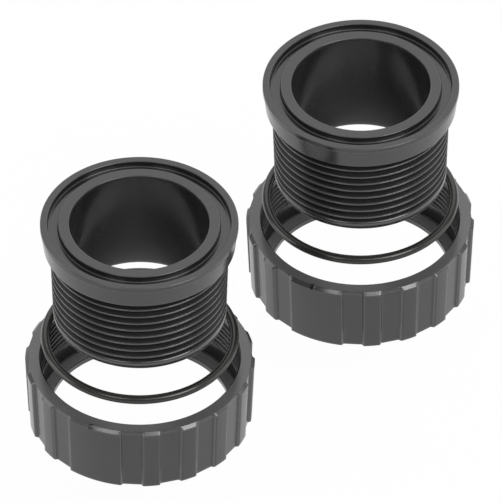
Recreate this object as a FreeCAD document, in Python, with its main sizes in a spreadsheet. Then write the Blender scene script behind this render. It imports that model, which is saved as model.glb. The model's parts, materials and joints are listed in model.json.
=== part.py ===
import FreeCAD, Part
import os
import Sketcher

# A pair of plastic union connectors, each drawn apart along its centre line: a union nut stands
# on the ground, its sealing ring is held above it, and the threaded tailpiece above the ring.
# The ring slips over the tailpiece's pipe thread and beds between the tailpiece's flange and
# the lip inside the nut. The flange passes through the nut's thread and is caught by the lip.
# Frame: millimetres, +Z up, the origin on the ground midway between the two centre lines,
# +X from the left set to the right set.

# Each row is a driving size: its alias, its value, and what it is.
SIZES = (
    ("pair_spacing", 72.4, "centre line of the left set to that of the right set"),
    ("facing_turn", -43.2, "turn about Z that brings the front of every piece to the viewer"),
    ("pipe_thread_radius", 21.32, "crest of the pipe thread where it meets the flange"),
    ("taper_run", 32.0, "length over which the pipe thread narrows by 1 mm of radius"),
    ("thread_length", 19.0, "pipe thread, from the flange to the plain end"),
    ("plain_end_length", 2.7, "smooth cone between the pipe thread and the end chamfer"),
    ("end_chamfer", 0.9, "lead-in chamfer at the tailpiece's lower end"),
    ("pipe_wall", 4.72, "bore to the pipe thread's crest, at the flange"),
    ("flange_thickness", 6.2, "flange, top face to underside"),
    ("flange_band", 1.3, "straight band round the flange's top edge"),
    ("flange_step", 0.2, "step inward below the straight band"),
    ("flange_draft", 0.5, "inward lean of the flange's side below the step"),
    ("flange_clearance", 0.2, "flange inside the crest of the nut's thread, radially"),
    ("rim_width", 1.75, "raised rim round the sealing groove"),
    ("collar_width", 2.7, "raised collar round the bore"),
    ("groove_depth", 1.7, "sealing groove in the flange's top face"),
    ("seal_section", 2.2, "thickness of the sealing ring"),
    ("seal_inner_clearance", 0.13, "sealing ring round the pipe thread, radially"),
    ("seal_outer_clearance", 0.1, "sealing ring inside the crest of the nut's thread, radially"),
    ("nut_height", 17.7, "union nut, foot to mouth"),
    ("nut_thread_length", 10.5, "nut's thread, down from the mouth"),
    ("nut_relief", 0.85, "smooth bore below the thread, outward from the thread's crest"),
    ("mouth_chamfer", 0.35, "chamfer at the nut's mouth"),
    ("mouth_wall", 2.95, "crest of the nut's thread to the outside of the mouth"),
    ("lip_thickness", 1.4, "inward lip at the nut's foot"),
    ("lip_clearance", 0.18, "hole in the lip round the pipe thread, radially"),
    ("rib_depth", 0.75, "grip rib, outward from the nut's wall"),
    ("rib_count", 18, "places for grip ribs round the nut"),
    ("rib_root_width", 4.9, "grip rib where it meets the wall"),
    ("rib_crest_width", 4.0, "grip rib across its crest"),
    ("nut_draft", 0.7, "inward lean of the nut's outside from mouth to foot"),
    ("panel_offset", 24.0, "middle of the wide panel, left of the front, in degrees"),
    ("ring_lift", 5.5, "space between the nut's mouth and the sealing ring"),
    ("tail_lift", 6.4, "space between the sealing ring and the tailpiece's end"),
)

TURN = 6.28318531   # round a circle, over its radius
CUT_MARGIN = 1.0   # how far a cutting shape runs past the solid that it cuts
OCTAGON_FLAT = 0.41421356   # half a flat of a regular octagon, over its half width


class Size:
    """A length, angle or count from the sheet, kept with the formula that ties it to its cells."""

    def __init__(self, value, formula):
        self.value = value
        self.formula = formula

    def joined(self, other, sign, value):
        return Size(value, f"({self.formula} {sign} {other.formula})")

    def __add__(self, other):
        other = as_size(other)
        return self.joined(other, "+", self.value + other.value)

    def __sub__(self, other):
        other = as_size(other)
        return self.joined(other, "-", self.value - other.value)

    def __mul__(self, other):
        other = as_size(other)
        return self.joined(other, "*", self.value * other.value)

    def __truediv__(self, other):
        other = as_size(other)
        return self.joined(other, "/", self.value / other.value)


def as_size(number):
    """A plain number is a Size whose formula is the number itself."""
    if isinstance(number, Size):
        return number
    return Size(float(number), repr(float(number)))


def fill_sheet(doc):
    """Write the driving sizes into the sheet and return a Size for each alias."""
    sheet = doc.addObject("Spreadsheet::Sheet", "Sizes")
    for row, (alias, value, meaning) in enumerate(SIZES, start=1):
        sheet.set(f"A{row}", meaning)
        sheet.set(f"B{row}", str(value))
        sheet.setAlias(f"B{row}", alias)
    doc.recompute()
    return {alias: Size(float(sheet.get(alias)), f"Sizes.{alias}") for alias, _, _ in SIZES}


def origin_plane(body, role):
    """One of the body's own origin planes, found by its role."""
    for feature in body.Origin.OriginFeatures:
        if feature.Role == role:
            return feature
    raise RuntimeError(f"{body.Name} has no {role}")


def polygon(body, name, role, corners):
    """A closed sketch on an origin plane, with each corner tied to its two coordinates."""
    sketch = body.newObject("Sketcher::SketchObject", name)
    sketch.AttachmentSupport = [(origin_plane(body, role), "")]
    sketch.MapMode = "FlatFace"
    spots = [FreeCAD.Vector(x.value, y.value, 0) for x, y in corners]
    following = spots[1:] + spots[:1]
    edges = [Part.LineSegment(start, end) for start, end in zip(spots, following)]
    sketch.addGeometry(edges, False)
    count = len(corners)
    ties = [
        Sketcher.Constraint("Coincident", edge, 2, (edge + 1) % count, 1)
        for edge in range(count)
    ]
    sketch.addConstraint(ties)
    for edge, (x, y) in enumerate(corners):
        tie_coordinate(sketch, "DistanceX", edge, x)
        tie_coordinate(sketch, "DistanceY", edge, y)
    return sketch


def tie_coordinate(sketch, direction, edge, size):
    """Hold the start of one edge at a coordinate, measured from the sketch's origin."""
    constraint = Sketcher.Constraint(direction, -1, 1, edge, 1, size.value)
    index = sketch.addConstraint(constraint)
    sketch.setExpression(f"Constraints[{index}]", size.formula)


def revolve(body, name, sketch):
    """Turn a sketch on the XZ plane full circle about the body's Z axis."""
    turned = body.newObject("PartDesign::Revolution", name)
    turned.Profile = sketch
    turned.ReferenceAxis = (sketch, ["V_Axis"])
    turned.Angle = 360.0
    return turned


def place(body, label, side, height, turn, sizes):
    """Name a piece and set it on its set's centre line, tied to the sheet."""
    body.Label = label
    across = sizes["pair_spacing"] * (0.5 * side)
    body.setExpression("Placement.Base.x", across.formula)
    body.setExpression("Placement.Base.z", height.formula)
    body.Placement.Rotation = FreeCAD.Rotation(FreeCAD.Vector(0, 0, 1), turn.value)
    body.setExpression("Placement.Rotation.Angle", turn.formula)


def derive(sizes):
    """Sizes that follow from the driving ones, so that the three pieces always fit together."""
    s = dict(sizes)
    zero = as_size(0)
    s["zero"] = zero
    # the ring's pocket: the pipe thread inside it, the nut's thread outside it
    s["seal_inner_radius"] = s["pipe_thread_radius"] + s["seal_inner_clearance"]
    s["seal_radius"] = s["seal_inner_radius"] + s["seal_section"] / 2
    seal_outer_radius = s["seal_inner_radius"] + s["seal_section"]
    s["nut_thread_radius"] = seal_outer_radius + s["seal_outer_clearance"]
    s["flange_radius"] = s["nut_thread_radius"] - s["flange_clearance"]
    # the tailpiece, up from its lower end
    s["thread_start"] = s["end_chamfer"] + s["plain_end_length"]
    s["flange_underside"] = s["thread_start"] + s["thread_length"]
    s["tail_length"] = s["flange_underside"] + s["flange_thickness"]
    s["bore_radius"] = s["pipe_thread_radius"] - s["pipe_wall"]
    # the nut, up from its foot
    s["lip_radius"] = s["pipe_thread_radius"] + s["lip_clearance"]
    s["relief_radius"] = s["nut_thread_radius"] + s["nut_relief"]
    s["nut_thread_start"] = s["nut_height"] - s["nut_thread_length"]
    s["mouth_radius"] = s["nut_thread_radius"] + s["mouth_wall"]
    s["crest_radius"] = s["mouth_radius"] + s["rib_depth"]
    # the places of the parts that are held above the nut
    s["ring_height"] = s["nut_height"] + s["ring_lift"]
    s["tail_height"] = s["ring_height"] + s["seal_section"] + s["tail_lift"]
    return s


def tailpiece(doc, name, s):
    """Pipe stub with a tapered thread outside, and a flange with a sealing groove on its top face."""
    body = doc.addObject("PartDesign::Body", name)
    top = s["tail_length"]
    underside = s["flange_underside"]
    narrowing = underside / s["taper_run"]
    end_radius = s["pipe_thread_radius"] - narrowing
    chamfer = s["end_chamfer"]
    band_foot = top - s["flange_band"]
    step_foot = band_foot - s["flange_step"]
    step_radius = s["flange_radius"] - s["flange_step"]
    rim_inside = s["flange_radius"] - s["rim_width"]
    collar_outside = s["bore_radius"] + s["collar_width"]
    groove_floor = top - s["groove_depth"]
    chamfer_top_radius = end_radius + chamfer / s["taper_run"]
    section = polygon(body, name + "_section", "XZ_Plane", [
        (s["bore_radius"], s["zero"]),
        (end_radius - chamfer, s["zero"]),
        (chamfer_top_radius, chamfer),
        (s["pipe_thread_radius"], underside),
        (step_radius - s["flange_draft"], underside),
        (step_radius, step_foot),
        (s["flange_radius"], band_foot),
        (s["flange_radius"], top),
        (rim_inside, top),
        (rim_inside, groove_floor),
        (collar_outside, groove_floor),
        (collar_outside, top),
        (s["bore_radius"], top),
    ])
    revolve(body, name + "_turned", section)
    return body


def sealing_ring(doc, name, s):
    """Rubber ring. Its round section is plain here: eight flats about the true circle."""
    body = doc.addObject("PartDesign::Body", name)
    half = s["seal_section"] / 2
    flat = half * OCTAGON_FLAT
    inside = s["seal_radius"] - half
    outside = s["seal_radius"] + half
    near = s["seal_radius"] - flat
    far = s["seal_radius"] + flat
    section = polygon(body, name + "_section", "XZ_Plane", [
        (near, s["zero"]),
        (far, s["zero"]),
        (outside, half - flat),
        (outside, half + flat),
        (far, s["seal_section"]),
        (near, s["seal_section"]),
        (inside, half + flat),
        (inside, half - flat),
    ])
    revolve(body, name + "_turned", section)
    return body


def union_nut(doc, name, s):
    """Nut with a lip at its foot, a thread at its mouth, and flat gaps cut between its grip ribs."""
    body = doc.addObject("PartDesign::Body", name)
    foot = s["zero"]
    top = s["nut_height"]
    crest_foot_radius = s["crest_radius"] - s["nut_draft"]
    section = polygon(body, name + "_section", "XZ_Plane", [
        (s["lip_radius"], foot),
        (crest_foot_radius, foot),
        (s["crest_radius"], top - s["rib_depth"]),
        (s["mouth_radius"], top),
        (s["nut_thread_radius"] + s["mouth_chamfer"], top),
        (s["nut_thread_radius"], top - s["mouth_chamfer"]),
        (s["nut_thread_radius"], s["nut_thread_start"]),
        (s["relief_radius"], s["nut_thread_start"] - s["nut_relief"]),
        (s["relief_radius"], s["lip_thickness"]),
        (s["lip_radius"], s["lip_thickness"]),
    ])
    revolve(body, name + "_turned", section)
    doc.recompute()
    whole = body.Shape.Volume
    cut_grip_gaps(doc, body, name, s)
    doc.recompute()
    if not body.Shape.Volume < whole:
        raise RuntimeError(f"{name}: the gaps between the ribs cut nothing")
    return body


def gap_outline(body, name, s, floor_radius, height):
    """Section of one gap between ribs: a flat floor on the wall, and sides that lean outward."""
    pitch = s["mouth_radius"] * TURN / s["rib_count"]
    crest_pitch = s["crest_radius"] * TURN / s["rib_count"]
    floor_half = (pitch - s["rib_root_width"]) / 2
    crest_half = (crest_pitch - s["rib_crest_width"]) / 2
    lean = (crest_half - floor_half) / s["rib_depth"]
    reach = s["rib_depth"] + CUT_MARGIN
    outer_half = floor_half + lean * reach
    outer_radius = floor_radius + reach
    sketch = polygon(body, name, "XY_Plane", [
        (s["zero"] - floor_half, floor_radius),
        (floor_half, floor_radius),
        (outer_half, outer_radius),
        (s["zero"] - outer_half, outer_radius),
    ])
    sketch.setExpression("AttachmentOffset.Base.z", height.formula)
    return sketch


def cut_grip_gaps(doc, body, name, s):
    """Cut one drafted gap and repeat it; one place is left uncut, and is the nut's wide panel."""
    slope = s["nut_draft"] / s["nut_height"]
    below = s["zero"] - CUT_MARGIN
    above = s["nut_height"] + CUT_MARGIN
    wall_below = s["mouth_radius"] - slope * (s["nut_height"] + CUT_MARGIN)
    wall_above = s["mouth_radius"] + slope * CUT_MARGIN
    lower = gap_outline(body, name + "_gap_foot", s, wall_below, below)
    upper = gap_outline(body, name + "_gap_mouth", s, wall_above, above)
    gap = body.newObject("PartDesign::SubtractiveLoft", name + "_gap")
    gap.Profile = lower
    gap.Sections = [upper]
    gap.Ruled = True
    doc.recompute()
    gaps = body.newObject("PartDesign::PolarPattern", name + "_gaps")
    gaps.Originals = [gap]
    gaps.Axis = (lower, ["N_Axis"])
    step = as_size(360) / s["rib_count"]
    gaps.setExpression("Angle", (step * (s["rib_count"] - 2)).formula)
    gaps.setExpression("Occurrences", (s["rib_count"] - 1).formula)
    body.Tip = gaps
    return gaps


def build():
    """Build both sets, check every object and write one file for each piece."""
    doc = FreeCAD.newDocument("union_connectors")
    sizes = fill_sheet(doc)
    s = derive(sizes)
    # the first gap lies at +Y and the uncut place one step clockwise of it, so this turn brings
    # the panel to its place left of the front
    step = as_size(360) / s["rib_count"]
    panel_turn = s["facing_turn"] + 180.0 + step - s["panel_offset"]
    pieces = []
    for side_name, side in (("left", -1.0), ("right", 1.0)):
        nut = union_nut(doc, side_name + "_nut", s)
        place(nut, side_name + "_union_nut", side, s["zero"], panel_turn, s)
        ring = sealing_ring(doc, side_name + "_ring", s)
        place(ring, side_name + "_sealing_ring", side, s["ring_height"], s["facing_turn"], s)
        tail = tailpiece(doc, side_name + "_tail", s)
        place(tail, side_name + "_threaded_tailpiece", side, s["tail_height"], s["facing_turn"], s)
        pieces.extend((nut, ring, tail))
    doc.recompute()

    for item in doc.Objects:
        if "Invalid" in item.State or "Error" in item.State:
            raise RuntimeError(f"{item.Label} did not compute: {item.State}")
    for piece in pieces:
        if piece.Shape.isNull() or not piece.Shape.isValid():
            raise RuntimeError(f"{piece.Label} has no valid shape")

    os.makedirs("parts", exist_ok=True)
    for piece in pieces:
        piece.Shape.exportStep(f"parts/{piece.Label}.step")
        box = piece.Shape.BoundBox
        print(piece.Label, "solids", len(piece.Shape.Solids), "volume", round(piece.Shape.Volume, 1),
              "X", round(box.XMin, 2), round(box.XMax, 2), "Y", round(box.YMin, 2),
              round(box.YMax, 2), "Z", round(box.ZMin, 2), round(box.ZMax, 2))


build()
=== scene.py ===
import json
import math

import bpy
import numpy as np
from bpy.props import FloatProperty, FloatVectorProperty, IntProperty, PointerProperty
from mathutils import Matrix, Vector


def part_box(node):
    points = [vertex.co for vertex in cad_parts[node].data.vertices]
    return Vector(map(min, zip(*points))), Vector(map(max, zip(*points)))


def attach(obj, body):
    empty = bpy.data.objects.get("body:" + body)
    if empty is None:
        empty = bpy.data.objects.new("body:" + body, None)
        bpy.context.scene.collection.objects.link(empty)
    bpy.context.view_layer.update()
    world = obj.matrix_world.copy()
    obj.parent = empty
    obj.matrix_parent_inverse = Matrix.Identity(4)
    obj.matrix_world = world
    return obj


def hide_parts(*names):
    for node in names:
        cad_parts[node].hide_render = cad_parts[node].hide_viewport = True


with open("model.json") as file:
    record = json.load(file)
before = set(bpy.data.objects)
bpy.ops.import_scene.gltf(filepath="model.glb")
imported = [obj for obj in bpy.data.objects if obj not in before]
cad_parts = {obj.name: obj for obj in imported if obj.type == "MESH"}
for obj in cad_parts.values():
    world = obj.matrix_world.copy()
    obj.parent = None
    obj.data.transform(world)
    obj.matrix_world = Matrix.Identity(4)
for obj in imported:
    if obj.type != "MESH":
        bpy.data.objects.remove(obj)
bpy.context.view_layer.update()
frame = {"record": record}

# Two plastic pipe unions, each drawn apart along its centre line. A flanged tailpiece, with a tapered
# pipe thread below its flange, hangs over a rubber sealing ring and a ribbed union nut.

bl_info = {
    "name": "Pipe union set",
    "version": (1, 0, 0),
    "blender": (4, 5, 0),
    "location": "3D View > Sidebar > Pipe union",
    "description": "Builds the looks of a pair of plastic pipe unions round their packed solids",
    "category": "Add Mesh",
}

# The box of the solids, kept before any piece is made
SIDES = ("left", "right")
MM = 0.001


def mount(name):
    """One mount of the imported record, by name."""
    return next(m for m in frame["record"]["mounts"] if m["name"] == name)


def half_width(node):
    """Half of a round node's size along Y, which is its outer radius."""
    low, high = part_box(node)
    return (high.y - low.y) / 2


def centre_line(side):
    """X of a set's centre line, from its tailpiece's box."""
    low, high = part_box(side + "_threaded_tailpiece")
    return (low.x + high.x) / 2


PORT_RADIUS = mount("left_port_bore")["dims"]["r_mm"] * MM
RING_OUTER = half_width("left_sealing_ring")
FLANGE_RADIUS = half_width("left_threaded_tailpiece")
# Direction round each centre line that faces the camera
FRONT = math.radians(226.8)


# Shapes

RUN_HOLD = 0.03       # where a run's first and last points lie, as a share of its length
SLOPE_EASING = 0.2    # share of the smooth step in the slope between two flats


def rounded_outline(corners, arc_steps=4):
    """A closed outline of straight runs joined by arcs, as (radii, heights, run of each point).

    A corner is (radius, height, fillet, run points). With unit directions a and b to its neighbours
    and half the angle between them w, its arc starts fillet / tan(w) along a, ends as far along b,
    and its centre lies fillet / sin(w) along a + b. The arc's points turn evenly from one end to the
    other. A run's points lie evenly between the arcs at its ends, with one held close to each.
    """
    points = np.array([c[:2] for c in corners], float)
    fillets = np.array([c[2] for c in corners], float)
    before = np.roll(points, 1, axis=0) - points
    after = np.roll(points, -1, axis=0) - points
    a = before / np.linalg.norm(before, axis=1)[:, None]
    b = after / np.linalg.norm(after, axis=1)[:, None]
    half = np.arccos(np.clip((a * b).sum(axis=1), -1, 1)) / 2
    tangent = (fillets / np.tan(half))[:, None]
    middle = (a + b) / np.linalg.norm(a + b, axis=1)[:, None]
    centres = points + middle * (fillets / np.sin(half))[:, None]
    starts = points + a * tangent - centres
    ends = points + b * tangent - centres
    sweep = (math.pi - 2 * half)[:, None]
    parts, runs = [], []
    for k in range(len(corners)):
        share = np.linspace(0, 1, arc_steps + 1)[:, None]
        turned = np.sin((1 - share) * sweep[k]) * starts[k] + np.sin(share * sweep[k]) * ends[k]
        arc = centres[k] + turned / np.sin(sweep[k])
        parts.append(arc)
        runs.append(np.full(len(arc), -1))
        following = (k + 1) % len(corners)
        run_end = centres[following] + starts[following]
        count = corners[k][3]
        even = np.linspace(0, 1, count + 2)[1:-1]
        held = np.concatenate([[RUN_HOLD], even, [1 - RUN_HOLD]])[:, None]
        parts.append(arc[-1] + (run_end - arc[-1]) * held)
        runs.append(np.full(len(held), k))
    outline = np.concatenate(parts)
    return outline[:, 0], outline[:, 1], np.concatenate(runs)


def smooth_step(share):
    """A climb from 0 to 1 that starts and ends level: three times the square less twice the cube."""
    return share * share * (3 - 2 * share)


def fade(distance, span):
    """A smooth step from 0 to 1 as the distance goes from 0 to the span."""
    return smooth_step(np.clip(distance / span, 0, 1))


def slope(distance, near_flat, far_flat):
    """From 0 on the near flat to 1 on the far flat, straight between them with its corners eased."""
    straight = np.clip((distance - near_flat) / (far_flat - near_flat), 0, 1)
    return straight + (smooth_step(straight) - straight) * SLOPE_EASING


def thread_valley(phase, crest_flat, root_flat):
    """Depth of a thread from 0 at the crest to 1 at the root, for a phase in turns.

    The phase's distance from the nearest whole turn, up to half a turn, is 0 at the middle of a
    crest and a half at the middle of a root, and the flank slopes between the two flats.
    """
    away = np.abs(phase - np.round(phase))
    return slope(away, crest_flat / 2, 0.5 - root_flat / 2)


def around(radii, heights, angles, x):
    """A grid of points about the upright line at x, from their radii, heights and angles.

    X is the line's plus the radius times the angle's cosine, and Y the radius times its sine.
    """
    return np.stack([
        x + radii * np.cos(angles),
        radii * np.sin(angles),
        np.broadcast_to(heights, radii.shape),
    ], axis=-1)


def grid_quads(rows, columns, joined):
    """A quad on each four neighbouring points of a grid whose columns join up round the piece.

    Where joined is true, the last row joins up with the first as well.
    """
    row = np.arange(rows if joined else rows - 1)[:, None]
    column = np.arange(columns)[None, :]
    below = row * columns
    above = (row + 1) % rows * columns
    beside = (column + 1) % columns
    quads = np.stack([below + column, below + beside, above + beside, above + column], axis=-1)
    return quads.reshape(-1, 4)


def add_object(name, data):
    """A new object of the scene, at the origin."""
    made = bpy.data.objects.new(name, data)
    bpy.context.scene.collection.objects.link(made)
    return made


def closed_grid(name, grid, painted_light=None):
    """A mesh object from a grid that closes on itself along its rows and along its columns.

    The volume that the quads enclose, summed from their two triangles each, says whether they
    face outward, and turns them round if they don't. The painted light of each point, from 0 to 1,
    goes into the mesh for its material to read: painted highlights and painted reflections.
    """
    rows, columns = grid.shape[:2]
    points = grid.reshape(-1, 3)
    quads = grid_quads(rows, columns, joined=True)
    p, q, r, s = (points[quads[:, k]] for k in range(4))
    volume = (p * (np.cross(q, r) + np.cross(r, s))).sum()
    if volume < 0:
        quads = quads[:, ::-1]
    mesh = bpy.data.meshes.new(name)
    mesh.vertices.add(len(points))
    mesh.vertices.foreach_set("co", points.astype(np.float32).ravel())
    mesh.loops.add(quads.size)
    mesh.loops.foreach_set("vertex_index", quads.astype(np.int32).ravel())
    mesh.polygons.add(len(quads))
    mesh.polygons.foreach_set("loop_start", np.arange(0, quads.size, 4, dtype=np.int32))
    mesh.polygons.foreach_set("use_smooth", np.ones(len(quads), dtype=bool))
    mesh.update(calc_edges=True)
    if painted_light is not None:
        light_painted = mesh.attributes.new("painted_light", "FLOAT", "POINT")
        spread = np.broadcast_to(painted_light, (rows, columns))
        light_painted.data.foreach_set("value", spread.astype(np.float32).ravel())
    return add_object(name, mesh)


def seat(piece, material, body, node):
    """Give a piece its material and its body, and hide the node that it stands for."""
    piece.data.materials.append(material)
    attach(piece, body)
    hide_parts(node)


EDGE_PAINTED_HIGHLIGHT = 0.1       # painted highlight on the rounded edges and on the pipe thread's crests
BORE_PAINTED_REFLECTION = 0.1       # painted reflection in the bore at its lower end, growing from none at the top
CREST_HIGHLIGHT_FALL = 6   # how fast the crests' painted highlight falls with the depth of the thread's valley
THREAD_SAMPLES = 32   # rows on one turn of the pipe thread
THREAD_RUN = 2        # the outline's run that carries the pipe thread
BORE_RUN = 12         # its run down the bore
END_FADE = 0.7        # turns over which the pipe thread fades out at the plain end
ROOT_FADE = 0.3 * MM  # height over which it ends at the flange
CREST_FLAT = 0.12     # crest of the pipe thread, in turns
ROOT_FLAT = 0.08      # root of the pipe thread and of the nut's thread, in turns


def tailpiece(side, sizes):
    """One threaded tailpiece as a closed grid.

    The rows follow the tailpiece's outline and the columns go round it. On the rows of the pipe
    thread the radius drops by the valley's depth at the phase height / pitch - angle / turn, which
    makes a right-handed helix, and the depth fades in from both ends. The height is measured from
    the first crest below the flange, and the angle from the front.
    """
    low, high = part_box(side + "_threaded_tailpiece")
    top = high.z
    underside = top - sizes.flange_thickness
    end = low.z
    thread_radius = sizes.thread_radius
    end_radius = thread_radius - (underside - end) / sizes.taper_run
    chamfer = sizes.end_chamfer
    flange = FLANGE_RADIUS
    step = flange - sizes.flange_step
    rim = flange - sizes.rim_width
    collar = PORT_RADIUS + sizes.collar_width
    floor = top - sizes.groove_depth
    band = top - sizes.flange_band
    edge = sizes.edge_radius
    fine = edge / 2
    thread_rows = int(THREAD_SAMPLES * (underside - end) / sizes.thread_pitch)
    inner = sizes.bore_chamfer
    corners = (
        (PORT_RADIUS + inner, end, fine, 0),
        (end_radius - chamfer, end, fine, 0),
        (end_radius + chamfer / sizes.taper_run, end + chamfer, fine, thread_rows),
        (thread_radius, underside, fine, 1),
        (step - sizes.flange_draft, underside, edge, 4),
        (step, band - sizes.flange_step, fine, 0),
        (flange, band, fine, 1),
        (flange, top, edge, 1),
        (rim, top, edge, 2),
        (rim, floor, edge, 1),
        (collar, floor, edge, 2),
        (collar, top, edge, 1),
        (PORT_RADIUS, top, edge, 8),
        (PORT_RADIUS, end + inner, fine, 0),
    )
    radii, heights, runs = rounded_outline(corners)
    angles = np.linspace(0, math.tau, sizes.columns, endpoint=False)[None, :]
    on_thread = runs == THREAD_RUN
    from_end = heights - (end + chamfer + sizes.plain_end)
    ends = fade(from_end, sizes.thread_pitch * END_FADE) * fade(underside - heights, ROOT_FADE)
    depth = np.where(on_thread, ends, 0) * sizes.thread_depth
    turn = (angles - FRONT) / math.tau
    phase = (heights[:, None] - underside + sizes.first_crest) / sizes.thread_pitch - turn
    valley = thread_valley(phase, CREST_FLAT, ROOT_FLAT)
    surface = radii[:, None] - depth[:, None] * valley
    grid = around(surface, heights[:, None], angles, centre_line(side))
    # Painted light: a painted highlight along the rounded edges and the pipe thread's crests, and a
    # painted reflection that grows down the bore to its lower end
    crests = on_thread[:, None] * np.clip(1 - valley * CREST_HIGHLIGHT_FALL, 0, 1)
    bore = np.where(runs == BORE_RUN, (top - heights) / (top - end), 0)[:, None]
    painted_light = np.maximum(EDGE_PAINTED_HIGHLIGHT * np.maximum((runs < 0)[:, None], crests), BORE_PAINTED_REFLECTION * bore)
    return closed_grid(side + "_threaded_tailpiece_moulding", grid, painted_light)


FLASH_WIDTH = 0.12    # width of the ring's parting ridge, over the section's half width


def sealing_ring(side, sizes):
    """One rubber ring: a torus, whose section turns evenly round a circle at the mean radius.

    The mould's parting line adds a low ridge outside, a bell curve of the sine of the turn.
    """
    low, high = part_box(side + "_sealing_ring")
    middle = (low.z + high.z) / 2
    section = (high.z - low.z) / 2
    mean = RING_OUTER - section
    turn = np.linspace(0, math.tau, sizes.section_points, endpoint=False)[:, None]
    angles = np.linspace(0, math.tau, sizes.columns, endpoint=False)[None, :]
    ridge = sizes.flash_height * np.exp(-((np.sin(turn) / FLASH_WIDTH) ** 2)) * (np.cos(turn) > 0)
    radii = mean + (section - sizes.flash_height + ridge) * np.cos(turn)
    heights = middle + (section - sizes.flash_height / 2) * np.sin(turn)
    radii = np.broadcast_to(radii, (sizes.section_points, sizes.columns))
    grid = around(radii, heights, angles, centre_line(side))
    return closed_grid(side + "_sealing_ring_rubber", grid)


FLOOR_STEPS = 5         # columns across half the floor of one of the nut's gaps
FLANK_STEPS = 5         # columns across a rib's side
CREST_STEPS = 4         # columns across half a rib's crest
NUT_SAMPLES = 14        # rows on one turn of the nut's thread
FACET_RUN = 2           # the nut outline's run down the ribs' slanted tops
MOUTH_RUN = 3           # its run across the mouth's top face
NUT_THREAD_RUN = 5      # its run that carries the nut's thread
LIP_RUN = 8             # its run across the lip
RIB_PAINTED_HIGHLIGHT = 0.22         # painted highlight on the ribs' sides, where it is most
RIB_HIGHLIGHT_PLACE = 0.3    # where it is most: 0 is a rib's crest, and 1 the floor of a gap
RIB_HIGHLIGHT_SPREAD = 0.3   # and how far it spreads from there
FACET_PAINTED_HIGHLIGHT = 0.12       # painted highlight on the ribs' slanted tops
MOUTH_PAINTED_LIGHT = 0.24       # painted light on the mouth's top face
LIP_PAINTED_LIGHT = 1            # painted light on the lip
NUT_FADE = 0.5 * MM     # height over which the nut's thread ends at the relief
NUT_CREST_FLAT = 0.2    # crest of the nut's thread, in turns
FOOT_BAND = 2           # edge radii over the foot, below which rows are scaled down and not cut
FOOT_REACH = 3          # edge radii inward from the gaps' floor, from which they are scaled down


def gap_angles(sizes):
    """Three angles: from gap to gap, and half the width of a gap's floor and of its open side."""
    sector = math.tau / sizes.rib_places
    return sector, (sector - sizes.rib_root) / 2, (sector - sizes.rib_crest) / 2


def gap_columns(sizes):
    """Column angles round the nut, denser on the sides of the ribs, from the middle of a gap on."""
    sector, floor, crest = gap_angles(sizes)
    steps = np.concatenate([
        np.linspace(0, floor, FLOOR_STEPS, endpoint=False),
        np.linspace(floor, crest, FLANK_STEPS, endpoint=False),
        np.linspace(crest, sector / 2, CREST_STEPS, endpoint=False),
    ])
    half = np.concatenate([steps, sector - steps[:0:-1], [sector / 2]])
    starts = np.arange(sizes.rib_places) * sector
    return np.sort((starts[:, None] + half[None, :]).ravel())


def gap_share(angles, sizes):
    """How much each column belongs to a gap, and its angle from the middle of the nearest gap.

    The share is 1 on a gap's floor and 0 on a rib, with a slope between them. The gap at angle 0
    is left filled, which joins two ribs into the panel.
    """
    sector, floor, crest = gap_angles(sizes)
    number = np.round(angles / sector)
    away = angles - number * sector
    share = 1 - slope(np.abs(away), floor, crest)
    return np.where(number % sizes.rib_places == 0, 0, share), away


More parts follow.
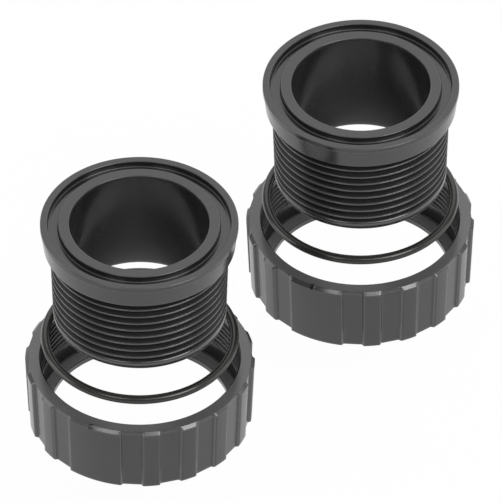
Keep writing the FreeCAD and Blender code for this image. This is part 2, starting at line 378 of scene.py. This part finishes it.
def union_nut(side, sizes):
    """One union nut as a closed grid.

    The rows follow the nut's outline at its rib crests. On the outer rows a gap's columns drop to
    the flat floor, whose radius is the wall's over the cosine of the angle from the gap's middle.
    On the foot, the radii from a start outward are scaled down to that floor instead, so that no
    two rows meet. On the rows of the thread the radius grows by the valley's depth at the phase
    height / pitch - angle / turn, a right-handed helix.
    """
    low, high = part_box(side + "_union_nut")
    foot, top = low.z, high.z
    crest = sizes.crest_radius
    mouth = crest - sizes.rib_depth
    thread = sizes.thread_crest
    relief = thread + sizes.relief
    lip = sizes.lip_radius
    thread_foot = top - sizes.thread_length
    edge = sizes.edge_radius
    fine = edge / 2
    thread_rows = int(NUT_SAMPLES * sizes.thread_length / sizes.thread_pitch)
    corners = (
        (lip, foot, fine, 2),
        (crest - sizes.draft, foot, edge, 8),
        (crest, top - sizes.rib_depth, fine, 2),
        (mouth, top, fine, 2),
        (thread + sizes.mouth_chamfer, top, fine, 0),
        (thread, top - sizes.mouth_chamfer, fine, thread_rows),
        (thread, thread_foot, fine, 0),
        (relief, thread_foot - sizes.relief, edge, 5),
        (relief, foot + sizes.lip_thickness, edge, 2),
        (lip, foot + sizes.lip_thickness, fine, 1),
    )
    radii, heights, runs = rounded_outline(corners)
    angles = gap_columns(sizes)[None, :]
    share, away = gap_share(angles, sizes)
    lean = sizes.draft / (top - sizes.rib_depth - foot)
    wall = (mouth - lean * np.clip(top - heights, 0, None))[:, None] / np.cos(away)
    surface = radii[:, None] + np.zeros_like(angles)
    start = mouth - sizes.draft - FOOT_REACH * edge
    outside = (radii > start)[:, None]
    on_foot = (heights < foot + FOOT_BAND * edge)[:, None]
    squeezed = start + (surface - start) * (wall - start) / (crest - sizes.draft - start)
    lowered = np.where(on_foot, squeezed, np.minimum(wall, surface))
    surface = np.where(outside, surface + share * (lowered - surface), surface)
    on_thread = runs == NUT_THREAD_RUN
    ends = fade(top - heights, sizes.thread_pitch) * fade(heights - thread_foot, NUT_FADE)
    depth = np.where(on_thread, ends, 0) * sizes.thread_depth
    phase = (heights[:, None] - top) / sizes.thread_pitch - angles / math.tau
    surface = surface + depth[:, None] * thread_valley(phase, NUT_CREST_FLAT, ROOT_FLAT)
    turned = angles + sizes.panel_angle
    grid = around(surface, heights[:, None], turned, centre_line(side))
    # Painted light: painted highlights on the rounded edges, the ribs' sides and their slanted tops,
    # and painted light on the mouth's top face and on the lip
    kinds = [runs == MOUTH_RUN, runs == LIP_RUN, runs < 0]
    row_painted_light = np.select(kinds, [MOUTH_PAINTED_LIGHT, LIP_PAINTED_LIGHT, EDGE_PAINTED_HIGHLIGHT], 0)
    sloping = (share > 0) & (share < 1)
    hump = np.exp(-(((share - RIB_HIGHLIGHT_PLACE) / RIB_HIGHLIGHT_SPREAD) ** 2))
    rib_side = hump * sloping * RIB_PAINTED_HIGHLIGHT
    facet = (runs == FACET_RUN)[:, None] * (1 - share) * FACET_PAINTED_HIGHLIGHT
    painted_light = np.maximum(row_painted_light[:, None], np.maximum(outside * rib_side, facet))
    return closed_grid(side + "_union_nut_moulding", grid, painted_light)


# The gate mark's profile from its foot, sunk in the nut, to its top: pairs of radius and height in mm
GATE_PROFILE = ((0.8, -0.6), (0.8, 0.0), (0.78, 0.1), (0.66, 0.2), (0.4, 0.2))
GATE_COLUMNS = 32
GATE_ANGLE = FRONT - math.radians(25.4)   # left of the front


def gate_mark(side, sizes):
    """The round stub that the mould's gate leaves on the chamfer over the nut's wide panel.

    The profile is turned round the chamfer's outward normal, which leans half a right angle up:
    a point is the centre plus its radius along the turned direction plus its height along the
    normal. Flat caps close both ends.
    """
    low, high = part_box(side + "_union_nut")
    profile = np.array(GATE_PROFILE) * MM
    turn = np.linspace(0, math.tau, GATE_COLUMNS, endpoint=False)
    outward = np.array([math.cos(GATE_ANGLE), math.sin(GATE_ANGLE), 0])
    upward = np.array([0, 0, 1])
    normal = (outward + upward) / math.sqrt(2)
    along = np.cross(normal, outward) * math.sqrt(2)
    across = np.cross(normal, along)
    ring = np.cos(turn)[:, None] * along + np.sin(turn)[:, None] * across
    reach = sizes.crest_radius - sizes.rib_depth / 2
    centre = np.array([centre_line(side), 0, high.z - sizes.rib_depth / 2]) + outward * reach
    points = centre + profile[:, :1, None] * ring + profile[:, 1:, None] * normal
    rows, columns = points.shape[:2]
    faces = grid_quads(rows, columns, joined=False).tolist()
    faces.append(list(range(columns))[::-1])
    faces.append(list(range((rows - 1) * columns, rows * columns)))
    mesh = bpy.data.meshes.new(side + "_gate_mark")
    mesh.from_pydata(points.reshape(-1, 3).tolist(), [], faces)
    mesh.shade_smooth()
    return add_object(side + "_gate_mark", mesh)


# Finishes

class Value:
    """A socket of a material's nodes that takes part in written maths."""

    def __init__(self, shader, socket):
        self.shader = shader
        self.socket = socket

    def maths(self, operation, first, second):
        """Add a Math node for an operation on two values or numbers."""
        return self.shader.node("ShaderNodeMath", {"operation": operation}, {0: first, 1: second})

    def __add__(self, other):
        return self.maths("ADD", self, other)

    def __radd__(self, other):
        return self.maths("ADD", other, self)

    def __sub__(self, other):
        return self.maths("SUBTRACT", self, other)

    def __rsub__(self, other):
        return self.maths("SUBTRACT", other, self)

    def __mul__(self, other):
        return self.maths("MULTIPLY", self, other)

    def __rmul__(self, other):
        return self.maths("MULTIPLY", other, self)


class Finish:
    """The nodes of a material or a world, with one method that adds any node."""

    def __init__(self, owner):
        self.owner = owner
        owner.use_nodes = True
        self.tree = owner.node_tree
        self.tree.nodes.clear()

    def node(self, kind, settings=None, inputs=None, output=0):
        """Add a node, set it up, fill its sockets with numbers or links, and return one output.

        A material's or a world's output node has no output to return.
        """
        made = self.tree.nodes.new(kind)
        for key, setting in (settings or {}).items():
            setattr(made, key, setting)
        for key, given in (inputs or {}).items():
            if isinstance(given, Value):
                self.tree.links.new(given.socket, made.inputs[key])
            else:
                made.inputs[key].default_value = given
        return Value(self, made.outputs[output]) if made.outputs else None

    def place(self):
        """The point on the piece, in metres."""
        return self.node("ShaderNodeTexCoord", output="Object")

    def noise(self, scale, detail, rough=0.55):
        """Noise from 0 to 1 with a grain of 1 / scale metres."""
        settings = {"Vector": self.place(), "Scale": scale, "Detail": detail, "Roughness": rough}
        return self.node("ShaderNodeTexNoise", None, settings, "Fac")

    def ramp(self, value, low, high):
        """A straight climb from 0 to 1 between two values, held at both ends."""
        settings = {"Value": value, "From Min": low, "From Max": high}
        return self.node("ShaderNodeMapRange", {"clamp": True}, settings)

    def blend(self, share, first, second):
        """A colour between two others. A Mix node's colours are its inputs 6 and 7 and its output 2."""
        settings = {0: share, 6: first, 7: second}
        return self.node("ShaderNodeMix", {"data_type": "RGBA"}, settings, 2)

    def bump(self, height, distance, strength):
        """A normal tilted by a height from 0 to 1, which stands for a distance in metres."""
        settings = {"Height": height, "Distance": distance, "Strength": strength}
        return self.node("ShaderNodeBump", None, settings)

    def surface(self, settings):
        """Finish a material with one principled surface, and return the material."""
        shader = self.node("ShaderNodeBsdfPrincipled", None, settings)
        self.node("ShaderNodeOutputMaterial", None, {"Surface": shader})
        return self.owner


NOISE_MIDDLE = 0.5          # the level that noise keeps to on the whole
GRAIN_DETAIL = 2.0          # octaves in the grain of both finishes
CLOUD_DETAIL = 3.0          # octaves in the slow changes of tone, here called clouds
DUST_DETAIL = 4.0           # octaves in the dust
DUST_ROUGH = 0.7            # strength of each finer octave of the dust
DUST_FINER = 6              # how much finer the dust's patches are than the clouds
DUST_FROM = 0.55            # noise at which dust starts
DUST_TO = 0.8               # noise at which it is thickest
DUST_SHARE = 0.25           # share of the dust's colour where it is thickest
PAINTED_LIGHT_LEAST = 0.8            # share of the painted light that shows in the darkest cloud
PAINTED_LIGHT_SWING = 0.4            # how much more of it shows in the palest
PAINTED_LIGHT_DULLS = 0.25           # roughness that full painted light adds
CLOUD_GLOSS = 0.12          # how far the clouds change the plastic's roughness
GRAIN_GLOSS = 0.06          # how far its grain does
CLOUD_HEIGHT = 0.3          # height of the clouds over that of the grain
PLASTIC_BUMP = 0.03 * MM    # height of the plastic's bumps
PLASTIC_BUMP_SHARE = 0.35   # strength of those bumps
PLASTIC_IOR = 1.65          # over a common plastic's 1.5, for its bright rims
RUBBER_FINER = 1.5          # how much finer the rubber's grain is than the plastic's
BLOOM_FINER = 2             # how much finer its bloom is than the clouds
RUBBER_ROUGHNESS = 0.22
BLOOM_GLOSS = 0.08          # how far the bloom changes that roughness
RUBBER_BUMP = 0.02 * MM     # height of the rubber's bumps
RUBBER_BUMP_SHARE = 0.25    # strength of those bumps
RUBBER_IOR = 1.52


def moulded_plastic(name, colours):
    """Black moulded plastic: fine grain from the mould, slow changes of tone, pale dust in patches.

    Where the mesh paints light on a face, with painted highlights and painted reflections, the colour
    is pale and the gloss is dull.
    """
    finish = Finish(bpy.data.materials.new(name))
    grain = finish.noise(colours.grain_scale, GRAIN_DETAIL)
    cloud = finish.noise(colours.cloud_scale, CLOUD_DETAIL)
    patches = finish.noise(colours.cloud_scale * DUST_FINER, DUST_DETAIL, DUST_ROUGH)
    dust = finish.ramp(patches, DUST_FROM, DUST_TO)
    tone = finish.blend(cloud, (*colours.shade, 1), (*colours.body, 1))
    dusty = finish.blend(dust * DUST_SHARE, tone, (*colours.dust, 1))
    # Painted highlights and painted reflections from the mesh blend the colour towards pale grey and
    # dull the gloss
    light_painted = finish.node("ShaderNodeAttribute", {"attribute_name": "painted_light"}, None, "Fac")
    dust_and_painted_light = finish.blend(light_painted * (PAINTED_LIGHT_LEAST + cloud * PAINTED_LIGHT_SWING), dusty, (*colours.light_painted, 1))
    cloudy = (cloud - NOISE_MIDDLE) * CLOUD_GLOSS
    grainy = (grain - NOISE_MIDDLE) * GRAIN_GLOSS
    gloss = colours.roughness + cloudy + grainy
    height = grain + cloud * CLOUD_HEIGHT
    return finish.surface({
        "Base Color": dust_and_painted_light,
        "Roughness": gloss + light_painted * PAINTED_LIGHT_DULLS,
        "IOR": PLASTIC_IOR,
        "Normal": finish.bump(height, PLASTIC_BUMP, PLASTIC_BUMP_SHARE),
    })


def smooth_rubber(name, colours):
    """Black rubber with a faint bloom and a very fine grain."""
    finish = Finish(bpy.data.materials.new(name))
    grain = finish.noise(colours.grain_scale * RUBBER_FINER, GRAIN_DETAIL)
    bloom = finish.noise(colours.cloud_scale * BLOOM_FINER, CLOUD_DETAIL)
    return finish.surface({
        "Base Color": finish.blend(bloom, (*colours.rubber_shade, 1), (*colours.rubber, 1)),
        "Roughness": RUBBER_ROUGHNESS + (bloom - NOISE_MIDDLE) * BLOOM_GLOSS,
        "IOR": RUBBER_IOR,
        "Normal": finish.bump(grain, RUBBER_BUMP, RUBBER_BUMP_SHARE),
    })


# What a user can change

def length(name, description, default):
    """A length in metres, shown in the scene's units."""
    return FloatProperty(
        name=name, description=description, default=default, min=0.0, unit="LENGTH", precision=5
    )


def angle(name, description, degrees):
    """An angle whose default is given in degrees."""
    default = math.radians(degrees)
    return FloatProperty(name=name, description=description, default=default, subtype="ANGLE")


def whole_number(name, description, default, least):
    """A whole number and the least that it may be."""
    return IntProperty(name=name, description=description, default=default, min=least)


def colour(name, description, *default):
    """A colour whose default is its red, green and blue."""
    return FloatVectorProperty(
        name=name, description=description, default=default, subtype="COLOR"
    )


class TailpieceSizes(bpy.types.PropertyGroup):
    """Sizes of the threaded tailpieces."""

    flange_thickness: length("Flange thickness", "Top face to underside", 6.2 * MM)
    flange_band: length("Flange band", "Straight band round the top edge", 1.3 * MM)
    flange_step: length("Flange step", "Step inward below the band", 0.2 * MM)
    flange_draft: length("Flange draft", "Inward lean below the step", 0.5 * MM)
    rim_width: length("Rim width", "Raised rim round the groove", 1.75 * MM)
    collar_width: length("Collar width", "Raised collar round the bore", 2.7 * MM)
    groove_depth: length("Groove depth", "Sealing groove in the top face", 1.7 * MM)
    thread_radius: length("Thread radius", "Pipe thread's crest at the flange", 21.32 * MM)
    thread_pitch: length("Thread pitch", "Height of one turn", 2.209 * MM)
    thread_depth: length("Thread depth", "Crest to root", 1.6 * MM)
    first_crest: length("First crest", "Below the flange, at the front", 0.7 * MM)
    plain_end: length("Plain end", "Smooth cone before the chamfer", 1.2 * MM)
    end_chamfer: length("End chamfer", "Lead-in at the lower end", 0.9 * MM)
    bore_chamfer: length("Bore chamfer", "Inside edge of the lower end", 1.3 * MM)
    edge_radius: length("Edge radius", "Rounding of the moulded edges", 0.25 * MM)
    taper_run: FloatProperty(
        name="Taper run", description="Length over which the radius falls by one part",
        default=32.0, min=1.0,
    )
    columns: whole_number("Columns", "Points round a tailpiece", 216, 24)


class RingSizes(bpy.types.PropertyGroup):
    """Sizes of the sealing rings."""

    flash_height: length("Flash height", "Parting ridge round the outside", 0.03 * MM)
    section_points: whole_number("Section points", "Points round the section", 40, 8)
    columns: whole_number("Columns", "Points round a ring", 320, 24)


class NutSizes(bpy.types.PropertyGroup):
    """Sizes of the union nuts."""

    crest_radius: length("Crest radius", "Grip ribs at the mouth", 27.45 * MM)
    rib_depth: length("Rib depth", "Crest to the flat gaps", 0.75 * MM)
    draft: length("Draft", "Inward lean from mouth to foot", 0.7 * MM)
    thread_crest: length("Thread crest", "Nut's thread at its crest", 23.75 * MM)
    thread_pitch: length("Thread pitch", "Height of one turn", 1.5 * MM)
    thread_depth: length("Thread depth", "Crest to root", 0.75 * MM)
    thread_length: length("Thread length", "Down from the mouth", 10.5 * MM)
    mouth_chamfer: length("Mouth chamfer", "Chamfer before the thread", 0.35 * MM)
    relief: length("Relief", "Smooth bore outward from the crest", 0.85 * MM)
    lip_radius: length("Lip radius", "Hole in the lip", 21.5 * MM)
    lip_thickness: length("Lip thickness", "Lip at the foot", 1.4 * MM)
    edge_radius: length("Edge radius", "Rounding of the moulded edges", 0.25 * MM)
    rib_places: whole_number("Rib places", "Places for ribs round the nut", 18, 3)
    rib_root: angle("Rib root", "Rib's angle at the wall", 10.51)
    rib_crest: angle("Rib crest", "Rib's angle at the crest", 8.35)
    panel_angle: angle("Panel angle", "Middle of the wide panel", 202.8)


class FinishColours(bpy.types.PropertyGroup):
    """Colours and grain of the plastic and the rubber."""

    body: colour("Body", "Paler tone of the plastic", 0.016, 0.016, 0.0165)
    shade: colour("Shade", "Darker tone of the plastic", 0.011, 0.011, 0.0115)
    dust: colour("Dust", "Pale dust on the plastic", 0.06, 0.06, 0.059)
    # The pale grey of the painted highlights and painted reflections on the plastic
    light_painted: colour("Painted light", "Plastic where it is fully worn", 0.3, 0.3, 0.3)
    rubber: colour("Rubber", "Paler tone of the rubber", 0.017, 0.017, 0.015)
    rubber_shade: colour("Rubber shade", "Darker tone of the rubber", 0.012, 0.012, 0.0105)
    roughness: FloatProperty(
        name="Roughness", description="Of the plastic", default=0.18, min=0.0, max=1.0,
        subtype="FACTOR",
    )
    grain_scale: FloatProperty(
        name="Grain scale", description="Grains to the metre", default=4500.0, min=1.0
    )
    cloud_scale: FloatProperty(
        name="Cloud scale", description="Slow changes to the metre", default=90.0, min=1.0
    )


class StageSizes(bpy.types.PropertyGroup):
    """The camera and the light."""

    elevation: angle("Elevation", "Camera above the horizon", 42)
    azimuth: angle("Azimuth", "Camera's turn from looking along Y", -43.2)
    lens: FloatProperty(
        name="Lens", description="Focal length in millimetres", default=1200.0, min=1.0,
        unit="CAMERA",
    )
    frame_width: length("Frame width", "Width of the picture at the sets' mid-height", 120.15 * MM)
    aim_rise: length("Aim rise", "Middle of the picture above the origin, along its up", 21.7 * MM)
    aim_across: length("Aim across", "Middle of the picture right of the origin", 0.1 * MM)
    aim_near: length("Aim near", "Sets' mid-height towards the camera from the origin", 19.4 * MM)
    world_light: FloatProperty(
        name="World light", description="Strength of the pale surroundings", default=0.42, min=0.0
    )
    floor_size: length("Floor size", "Side of the floor", 6.0)


# Operators

class UNION_OT_tailpieces(bpy.types.Operator):
    """Build both threaded tailpieces"""

    bl_idname = "union.tailpieces"
    bl_label = "Threaded tailpieces"

    def execute(self, context):
        scene = context.scene
        plastic = moulded_plastic("tailpiece_plastic", scene.union_colours)
        for side in SIDES:
            piece = tailpiece(side, scene.union_tailpiece)
            seat(piece, plastic, side + "_tail", side + "_threaded_tailpiece")
        return {"FINISHED"}


class UNION_OT_sealing_rings(bpy.types.Operator):
    """Build both sealing rings"""

    bl_idname = "union.sealing_rings"
    bl_label = "Sealing rings"

    def execute(self, context):
        scene = context.scene
        rubber = smooth_rubber("seal_rubber", scene.union_colours)
        for side in SIDES:
            piece = sealing_ring(side, scene.union_ring)
            seat(piece, rubber, side + "_ring", side + "_sealing_ring")
        return {"FINISHED"}


class UNION_OT_union_nuts(bpy.types.Operator):
    """Build both union nuts"""

    bl_idname = "union.union_nuts"
    bl_label = "Union nuts"

    def execute(self, context):
        scene = context.scene
        plastic = moulded_plastic("nut_plastic", scene.union_colours)
        for side in SIDES:
            piece = union_nut(side, scene.union_nut)
            seat(piece, plastic, "nuts", side + "_union_nut")
            mark = gate_mark(side, scene.union_nut)
            mark.data.materials.append(plastic)
            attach(mark, "nuts")
        return {"FINISHED"}


FLOOR_DROP = 20 * MM   # height of the nuts over the floor
FLOOR_GLOW = 0.97      # share of the floor's own glow over the light that falls on it
WHITE = (1, 1, 1, 1)
PAPER = (0.9, 0.9, 0.9, 1)   # the floor's own colour
NEAR_CLIP = 10         # the camera's nearest clip is its distance over this
FAR_CLIP = 3           # its farthest clip is its distance times this
LAMP_AIM = Vector((0, 0, 30 * MM))   # the place that every lamp points at
# Each lamp's name, its place in metres from the origin to the camera's right, away from the camera
# along the floor and up, the side of its square in metres, and its power in watts
LAMPS = (
    ("back_light", 0.0, 0.9, 0.9, 1.3, 4.9),
    ("front_light", 0.65, -0.6, 0.85, 0.6, 7.0),
    ("middle_light", 0.2, -0.8, 0.9, 0.35, 1.0),
    ("near_light", -0.45, -0.7, 0.86, 0.4, 1.8),
    ("left_light", -0.8, 0.0, 0.2, 0.5, 1.6),
    ("right_light", 0.8, 0.0, 0.2, 0.5, 1.0),
)


def backdrop_floor(size):
    """A flat square floor, one quad, with room above it for a closed union's threads."""
    half = size / 2
    corners = ((-half, -half), (half, -half), (half, half), (-half, half))
    mesh = bpy.data.meshes.new("floor")
    mesh.from_pydata([(x, y, -FLOOR_DROP) for x, y in corners], [], [(0, 1, 2, 3)])
    return add_object("floor", mesh)


def floor_finish():
    """White paper that glows for the camera and in reflections, so that only a faint shadow is left."""
    finish = Finish(bpy.data.materials.new("white_floor"))
    camera = finish.node("ShaderNodeLightPath", output="Is Camera Ray")
    glossy = finish.node("ShaderNodeLightPath", output="Is Glossy Ray")
    seen = camera + glossy
    paper = finish.node("ShaderNodeBsdfDiffuse", None, {"Color": PAPER})
    glow = finish.node("ShaderNodeEmission", None, {"Color": WHITE, "Strength": 1.0})
    mixed = finish.node("ShaderNodeMixShader", None, {0: seen * FLOOR_GLOW, 1: paper, 2: glow})
    finish.node("ShaderNodeOutputMaterial", None, {"Surface": mixed})
    return finish.owner


def pale_world(strength):
    """Surroundings that light the pieces, and are white for the camera."""
    world = bpy.data.worlds.new("pale_surroundings")
    sky = Finish(world)
    camera = sky.node("ShaderNodeLightPath", output="Is Camera Ray")
    level = strength + camera * (1 - strength)
    background = sky.node("ShaderNodeBackground", None, {"Color": WHITE, "Strength": level})
    sky.node("ShaderNodeOutputWorld", None, {"Surface": background})
    bpy.context.scene.world = world


def soft_lamp(name, place, size, power):
    """A square area lamp at a place, turned to the lamps' aim."""
    lamp = bpy.data.lights.new(name, "AREA")
    lamp.size = size
    lamp.energy = power
    holder = add_object(name, lamp)
    holder.location = place
    holder.rotation_euler = (LAMP_AIM - place).to_track_quat("-Z", "Y").to_euler()


def camera_axes(stage):
    """The camera's right, up and backward directions, from its azimuth and elevation."""
    turn, rise = stage.azimuth, stage.elevation
    right = Vector((math.cos(turn), math.sin(turn), 0))
    back = Vector((math.sin(turn) * math.cos(rise), -math.cos(turn) * math.cos(rise), math.sin(rise)))
    return right, back.cross(right), back


def add_camera(stage, right, up, back):
    """The scene's camera: far back along its axis, with the frame's width at the sets' mid-height."""
    lens = bpy.data.cameras.new("camera")
    lens.lens = stage.lens
    distance = stage.frame_width * stage.lens / lens.sensor_width + stage.aim_near
    lens.clip_start = distance / NEAR_CLIP
    lens.clip_end = distance * FAR_CLIP
    camera = add_object("camera", lens)
    camera.location = right * stage.aim_across + up * stage.aim_rise + back * distance
    camera.rotation_euler = back.to_track_quat("Z", "Y").to_euler()
    bpy.context.scene.camera = camera


class UNION_OT_stage(bpy.types.Operator):
    """Set up the floor, the light and the camera"""

    bl_idname = "union.stage"
    bl_label = "Stage"

    def execute(self, context):
        scene = context.scene
        stage = scene.union_stage
        scene.view_settings.view_transform = "Standard"
        floor = backdrop_floor(stage.floor_size)
        floor.data.materials.append(floor_finish())
        pale_world(stage.world_light)

        right, up, back = camera_axes(stage)
        add_camera(stage, right, up, back)
        ahead = Vector((back.x, back.y, 0)).normalized() * -1
        high = Vector((0, 0, 1))
        for name, aside, onward, above, size, power in LAMPS:
            place = right * aside + ahead * onward + high * above
            soft_lamp(name, place, size, power)
        return {"FINISHED"}


class UNION_PT_panel(bpy.types.Panel):
    """Lists the sizes and the buttons"""

    bl_label = "Pipe union set"
    bl_idname = "UNION_PT_panel"
    bl_space_type = "VIEW_3D"
    bl_region_type = "UI"
    bl_category = "Pipe union"

    def draw(self, context):
        scene = context.scene
        for name in GROUPS:
            group = getattr(scene, name)
            box = self.layout.box()
            box.label(text=name.replace("_", " "))
            for key in group.__annotations__:
                box.prop(group, key)
        for operator in OPERATORS:
            self.layout.operator(operator.bl_idname)


GROUPS = {
    "union_tailpiece": TailpieceSizes,
    "union_ring": RingSizes,
    "union_nut": NutSizes,
    "union_colours": FinishColours,
    "union_stage": StageSizes,
}
OPERATORS = (UNION_OT_stage, UNION_OT_tailpieces, UNION_OT_sealing_rings, UNION_OT_union_nuts)
CLASSES = (*GROUPS.values(), *OPERATORS, UNION_PT_panel)


def register():
    """Register the classes and give the scene its groups of sizes."""
    for made in CLASSES:
        bpy.utils.register_class(made)
    for name, group in GROUPS.items():
        setattr(bpy.types.Scene, name, PointerProperty(type=group))


def unregister():
    """Undo register, last class first."""
    for name in GROUPS:
        delattr(bpy.types.Scene, name)
    for made in reversed(CLASSES):
        bpy.utils.unregister_class(made)


def main():
    """Register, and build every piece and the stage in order."""
    register()
    for operator in OPERATORS:
        group, name = operator.bl_idname.split(".")
        getattr(getattr(bpy.ops, group), name)()


if __name__ == "__main__":
    main()
